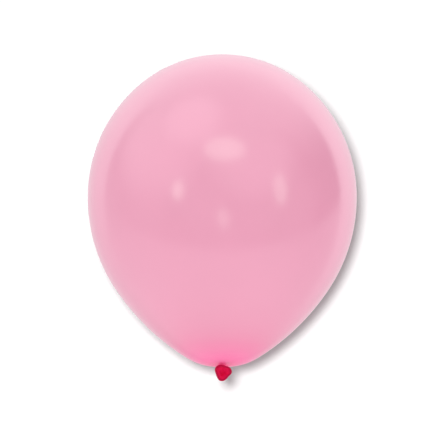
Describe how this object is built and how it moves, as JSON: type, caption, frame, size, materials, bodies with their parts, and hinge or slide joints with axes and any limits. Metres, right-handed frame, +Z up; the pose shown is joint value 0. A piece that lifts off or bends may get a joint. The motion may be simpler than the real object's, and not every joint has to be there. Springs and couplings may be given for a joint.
{
  "type": "latex balloon",
  "caption": "Round latex party balloon, inflated and tied, with a gathered neck, an overhand knot and a short open tail ending in a rolled lip.",
  "frame": {"origin": "on the balloon's axis at the tied neck, in the middle of the groove between bulb and knot that a ribbon goes round", "axes": "+Z up along the axis to the crown; the tail leaves the knot along -Y; +X completes the right-handed frame"},
  "size_m": [0.28, 0.28, 0.3453],
  "materials": {
    "stretched_film": "pale pink stretched latex, satin gloss",
    "gathered_film": "hot pink latex, less stretched and in fine pleats",
    "slack_film": "crimson unstretched latex, satin"
  },
  "bodies": {
    "bulb": {"envelope": "stretched_film"},
    "neck": {"neck_collar": "gathered_film"},
    "knot": {"knot_wrap": "slack_film", "knot_core": "slack_film"},
    "tail": {"tail_tube": "slack_film", "rolled_lip": "slack_film"}
  },
  "joints": [
    {"name": "neck_twist", "type": "hinge", "parent": "bulb", "child": "neck", "pos_m": [0, 0, 0], "axis": [0, 0, 1], "range_deg": [-90, 90], "stiffness_Nm_per_rad": 0.0003},
    {"name": "neck_swing", "type": "hinge", "parent": "neck", "child": "knot", "pos_m": [0, 0, -0.0018], "axis": [0, 1, 0], "range_deg": [-25, 25], "stiffness_Nm_per_rad": 0.0005},
    {"name": "tail_flex", "type": "hinge", "parent": "knot", "child": "tail", "pos_m": [0, -0.0055, -0.0066], "axis": [1, 0, 0], "range_deg": [0, 50], "stiffness_Nm_per_rad": 0.0005}
  ]
}
